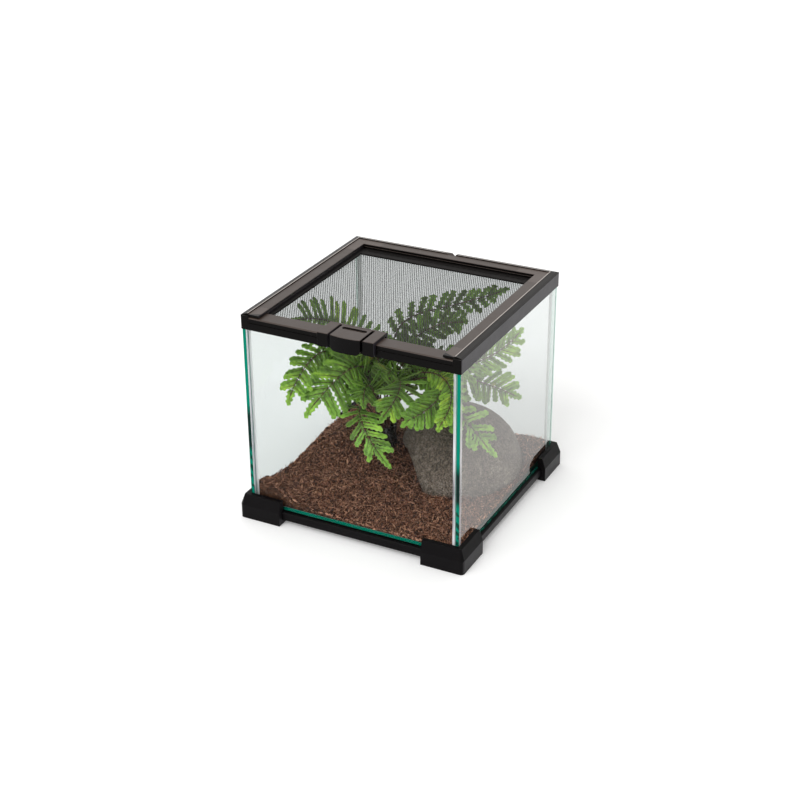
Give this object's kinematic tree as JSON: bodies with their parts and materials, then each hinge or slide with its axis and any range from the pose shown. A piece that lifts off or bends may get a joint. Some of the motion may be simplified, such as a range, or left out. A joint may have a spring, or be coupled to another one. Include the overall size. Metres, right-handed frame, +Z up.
{
  "type": "reptile terrarium",
  "caption": "Small cube glass terrarium on corner feet with a sliding mesh-screen lid and front latch, planted with an artificial fern over a coir bed and a domed hide.",
  "frame": {"origin": "centre of the footprint, on the plane that the four feet stand on", "axes": "+Z up; -Y to the front, the side with the latch; +X to the right seen from the front"},
  "size_m": [0.213, 0.213, 0.1916],
  "materials": {
    "glass": "clear float glass, green at the cut edges",
    "silicone": "clear silicone",
    "frame_plastic": "satin black moulding",
    "base_plastic": "satin black moulding",
    "latch": "smooth black moulding",
    "screen": "fine black coated wire screen",
    "screen_frame": "matte black",
    "coir": "loose brown coconut fibre",
    "stone": "rough grey cast resin",
    "fern_root": "glossy black moulded root clump",
    "fern_leaf": "soft printed plastic leaf"
  },
  "bodies": {
    "tank": {"pane_front": "glass", "pane_back": "glass", "pane_left": "glass", "pane_right": "glass", "pane_floor": "glass", "silicone_beads": "silicone", "base_rail_front": "base_plastic", "base_rail_back": "base_plastic", "base_rail_left": "base_plastic", "base_rail_right": "base_plastic", "foot_front_left": "base_plastic", "foot_front_right": "base_plastic", "foot_back_left": "base_plastic", "foot_back_right": "base_plastic", "top_rail_front": "frame_plastic", "top_rail_left": "frame_plastic", "top_rail_right": "frame_plastic", "top_rail_back": "frame_plastic", "top_corner_front_left": "frame_plastic", "top_corner_front_right": "frame_plastic", "top_corner_back_left": "frame_plastic", "top_corner_back_right": "frame_plastic", "substrate": "coir", "hide_cave": "stone", "fern_base": "fern_root", "fern_frond_01": "fern_leaf", "fern_frond_02": "fern_leaf", "fern_frond_03": "fern_leaf", "fern_frond_04": "fern_leaf", "fern_frond_05": "fern_leaf", "fern_frond_06": "fern_leaf", "fern_frond_07": "fern_leaf", "fern_frond_08": "fern_leaf", "fern_frond_09": "fern_leaf", "fern_frond_10": "fern_leaf", "fern_frond_11": "fern_leaf", "fern_frond_12": "fern_leaf"},
    "lid": {"lid_front_bar": "frame_plastic", "lid_runner_left": "frame_plastic", "lid_runner_right": "frame_plastic", "lid_back_bar": "frame_plastic", "screen_frame": "screen_frame", "mesh_screen": "screen", "latch_housing": "frame_plastic"},
    "latch": {"latch_tongue": "latch"}
  },
  "joints": [
    {"name": "lid_slide", "type": "slide", "parent": "tank", "child": "lid", "axis": [0, -1, 0], "range_m": [0, 0.16]},
    {"name": "latch_lift", "type": "hinge", "parent": "lid", "child": "latch", "pos_m": [0, -0.0828, 0.191], "axis": [-1, 0, 0], "range_deg": [0, 10], "stiffness_Nm_per_rad": 0.05}
  ]
}
